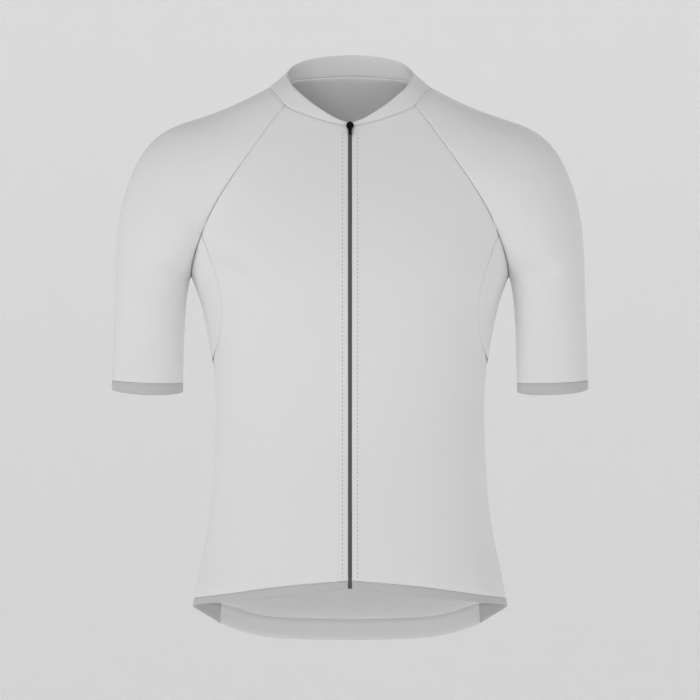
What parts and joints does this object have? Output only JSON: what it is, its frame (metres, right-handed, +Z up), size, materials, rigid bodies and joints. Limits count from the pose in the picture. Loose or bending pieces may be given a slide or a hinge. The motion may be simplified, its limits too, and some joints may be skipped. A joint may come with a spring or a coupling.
{
  "type": "cycling jersey",
  "caption": "Close-fitting short-sleeved raglan cycling jersey with a full front zip, low standing collar, elastic grippers and a dropped back with pockets.",
  "frame": {"origin": "centre of the neck opening, level with the ends of the collar seam on the shoulders", "axes": "+Z up towards the collar, -Y out of the front, +X towards the wearer's left sleeve"},
  "size_m": [0.593, 0.253, 0.7423],
  "materials": {
    "white_knit": "smooth white polyester knit, light grey inside",
    "pale_grey_elastic": "matte ribbed elastic",
    "grey_reflective_film": "grey reflective film bonded to cloth",
    "zip_tape": "grey woven tape",
    "zip_teeth": "dark grey nylon coil",
    "black_metal": "black enamelled zinc"
  },
  "bodies": {
    "jersey": {"front_left": "white_knit", "front_right": "white_knit", "back": "white_knit", "gusset_left": "white_knit", "gusset_right": "white_knit", "sleeve_left": "white_knit", "sleeve_right": "white_knit", "collar": "white_knit", "pocket_panel": "white_knit", "tail_hem": "white_knit", "front_hem_left": "pale_grey_elastic", "front_hem_right": "pale_grey_elastic", "cuff_left": "pale_grey_elastic", "cuff_right": "pale_grey_elastic", "side_tab_left": "grey_reflective_film", "side_tab_right": "grey_reflective_film", "zip_tape_left": "zip_tape", "zip_tape_right": "zip_tape", "zip_chain": "zip_teeth", "zip_slider": "black_metal"},
    "pull_tab": {"pull_tab": "black_metal"}
  },
  "joints": [
    {"name": "pull_tab_hinge", "type": "hinge", "parent": "jersey", "child": "pull_tab", "pos_m": [0, -0.07509, -0.05345], "axis": [-1, 0, 0], "range_deg": [0, 160]}
  ]
}
